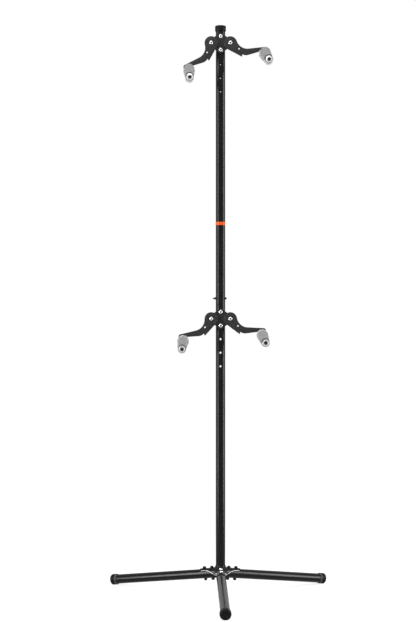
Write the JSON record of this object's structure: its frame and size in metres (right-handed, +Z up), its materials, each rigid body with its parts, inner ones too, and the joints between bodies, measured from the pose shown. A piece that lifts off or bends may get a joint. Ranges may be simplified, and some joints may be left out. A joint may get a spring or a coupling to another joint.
{
  "type": "two-bike tower stand",
  "caption": "Free-standing tripod pole stand whose turning arms end in moulded cradles that hold bicycles one above the other.",
  "frame": {"origin": "on the floor, at the middle of the stand's bounding box in plan, about 127 mm in front of the pole's axis", "axes": "+Z up along the pole, +X to the right as seen from the front, -Y towards the front, where the cradles and the front leg point"},
  "size_m": [0.9476, 0.8243, 2.3898],
  "materials": {
    "black_paint": "satin black powder coat",
    "arm_coating": "matte dark grey coating, finely textured",
    "grey_plastic": "matte moulded grey",
    "black_rubber": "matte moulded black",
    "bright_zinc": "bright zinc plating",
    "black_oxide": "dark oxide on steel"
  },
  "bodies": {
    "stand": {"hub_plate": "black_paint", "leg_front": "black_paint", "leg_left": "black_paint", "leg_right": "black_paint", "foot_cap_front": "black_rubber", "foot_cap_left": "black_rubber", "foot_cap_right": "black_rubber", "leg_bolt_front_inner": "bright_zinc", "leg_bolt_front_outer": "bright_zinc", "leg_bolt_left_inner": "bright_zinc", "leg_bolt_left_outer": "bright_zinc", "leg_bolt_right_inner": "bright_zinc", "leg_bolt_right_outer": "bright_zinc", "lower_pole": "black_paint", "upper_pole": "black_paint", "joint_sleeve": "black_paint", "joint_bolt": "black_oxide", "joint_nut": "black_oxide", "top_cap": "black_rubber", "centre_plate_lower": "arm_coating", "front_saddle_lower": "black_rubber", "rear_saddle_lower": "black_rubber", "centre_bolt_lower_top": "bright_zinc", "centre_bolt_lower_bottom": "bright_zinc", "centre_nut_lower_top": "bright_zinc", "centre_nut_lower_bottom": "bright_zinc", "pivot_bolt_lower_left": "bright_zinc", "pivot_bolt_lower_right": "bright_zinc", "pivot_nut_lower_left": "bright_zinc", "pivot_nut_lower_right": "bright_zinc", "centre_plate_upper": "arm_coating", "front_saddle_upper": "black_rubber", "rear_saddle_upper": "black_rubber", "centre_bolt_upper_top": "bright_zinc", "centre_bolt_upper_bottom": "bright_zinc", "centre_nut_upper_top": "bright_zinc", "centre_nut_upper_bottom": "bright_zinc", "pivot_bolt_upper_left": "bright_zinc", "pivot_bolt_upper_right": "bright_zinc", "pivot_nut_upper_left": "bright_zinc", "pivot_nut_upper_right": "bright_zinc"},
    "arm_assembly_upper_left": {"arm_upper_left": "arm_coating", "cradle_upper_left": "grey_plastic", "cradle_bolt_upper_left": "black_oxide", "cradle_nut_upper_left": "bright_zinc"},
    "arm_assembly_upper_right": {"arm_upper_right": "arm_coating", "cradle_upper_right": "grey_plastic", "cradle_bolt_upper_right": "black_oxide", "cradle_nut_upper_right": "bright_zinc"},
    "arm_assembly_lower_left": {"arm_lower_left": "arm_coating", "cradle_lower_left": "grey_plastic", "cradle_bolt_lower_left": "black_oxide", "cradle_nut_lower_left": "bright_zinc"},
    "arm_assembly_lower_right": {"arm_lower_right": "arm_coating", "cradle_lower_right": "grey_plastic", "cradle_bolt_lower_right": "black_oxide", "cradle_nut_lower_right": "bright_zinc"}
  },
  "joints": [
    {"name": "arm_turn_upper_left", "type": "hinge", "parent": "stand", "child": "arm_assembly_upper_left", "pos_m": [-0.04, 0.09643, 2.3133], "axis": [0, -1, 0], "range_deg": [-49.2, 20.8]},
    {"name": "arm_turn_upper_right", "type": "hinge", "parent": "stand", "child": "arm_assembly_upper_right", "pos_m": [0.04, 0.09643, 2.3133], "axis": [0, 1, 0], "range_deg": [-15.5, 54.5]},
    {"name": "arm_turn_lower_left", "type": "hinge", "parent": "stand", "child": "arm_assembly_lower_left", "pos_m": [-0.04, 0.09643, 1.1598], "axis": [0, -1, 0], "range_deg": [-35.9, 34.1]},
    {"name": "arm_turn_lower_right", "type": "hinge", "parent": "stand", "child": "arm_assembly_lower_right", "pos_m": [0.04, 0.09643, 1.1598], "axis": [0, 1, 0], "range_deg": [-24.8, 45.2]}
  ]
}
